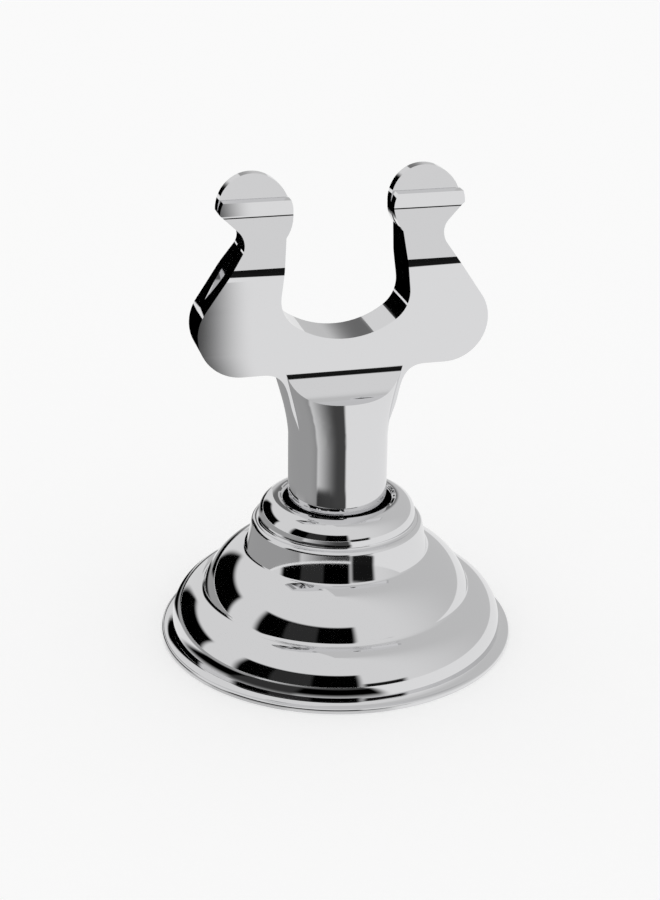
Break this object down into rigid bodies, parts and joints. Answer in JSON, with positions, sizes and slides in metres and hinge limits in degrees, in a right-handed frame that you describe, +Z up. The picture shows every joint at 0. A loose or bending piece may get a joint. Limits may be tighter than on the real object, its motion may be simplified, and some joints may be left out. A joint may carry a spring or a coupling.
{
  "type": "table card holder",
  "caption": "Harp-shaped card clip with sprung front and rear jaws on a short round stem and a weighted, stepped round base.",
  "frame": {"origin": "centre of the foot, on the table", "axes": "+Z up, harp lies in the XZ plane, front of the clip faces -Y"},
  "size_m": [0.0286, 0.0286, 0.0382],
  "materials": {
    "shell_chrome": "mirror polished chrome plate",
    "jaw_chrome": "mirror polished chrome plate",
    "weight_iron": "rough cast, dark",
    "zinc_steel": "zinc plated, turned",
    "spring_steel": "oiled spring strip",
    "pad_rubber": "matt cellular rubber"
  },
  "bodies": {
    "base": {"base_shell": "shell_chrome", "base_weight": "weight_iron", "foot_pad": "pad_rubber", "anchor_stud": "zinc_steel", "clamp_screw": "zinc_steel", "lock_washer": "zinc_steel", "pivot_pin": "zinc_steel", "spring_ring": "spring_steel"},
    "front_clip": {"front_jaw": "jaw_chrome"},
    "rear_clip": {"rear_jaw": "jaw_chrome"}
  },
  "joints": [
    {"name": "front_jaw_rock", "type": "hinge", "parent": "base", "child": "front_clip", "pos_m": [0, 0, 0.0075], "axis": [1, 0, 0], "range_deg": [0, 1.5], "stiffness_Nm_per_rad": 0.2, "springref_deg": -28.65},
    {"name": "rear_jaw_rock", "type": "hinge", "parent": "base", "child": "rear_clip", "pos_m": [0, 0, 0.0075], "axis": [-1, 0, 0], "range_deg": [0, 1.5], "stiffness_Nm_per_rad": 0.2, "springref_deg": -28.65}
  ],
  "couplings": [
    {"joint": "rear_jaw_rock", "follows": "front_jaw_rock", "ratio": 1}
  ]
}
